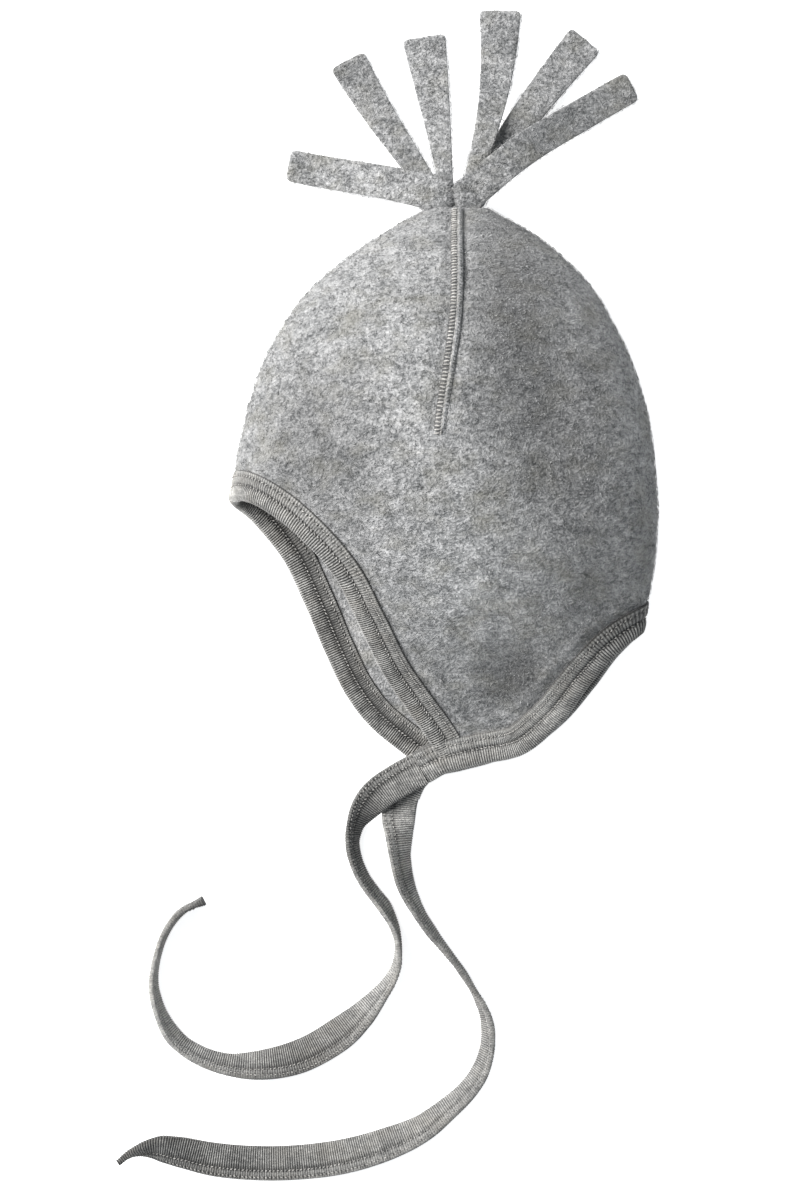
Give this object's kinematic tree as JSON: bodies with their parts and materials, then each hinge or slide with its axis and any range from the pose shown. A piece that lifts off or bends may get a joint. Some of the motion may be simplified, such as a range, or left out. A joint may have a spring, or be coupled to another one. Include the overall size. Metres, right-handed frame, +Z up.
{
  "type": "baby hat with ear flaps",
  "caption": "Soft fleece baby hat with ear flaps, lying flat on its side, with rib-knit bound edges, tie straps and a tuft of fleece strips at the crown.",
  "frame": {"origin": "on the surface that the hat lies on, on the flat underside of its far side, under the middle of the hat at brow level", "axes": "+Y from the ties to the crown and its tuft, +X from the face opening to the back of the head, +Z up from the surface through the near side"},
  "size_m": [0.2395, 0.525, 0.0782],
  "materials": {
    "fleece": "boiled wool fleece, melange grey, fuzzy and matt",
    "tape": "rib-knit wool tape, melange grey, matt",
    "thread": "pale grey overlock thread on grey fleece, matt"
  },
  "bodies": {
    "root": {"hat_body": "fleece", "dart_seam_near": "thread", "dart_seam_far": "thread", "face_binding": "tape", "neck_binding": "tape", "tie_near": "tape", "tie_far": "tape", "tuft_front": "fleece", "tuft_back": "fleece"}
  },
  "joints": []
}
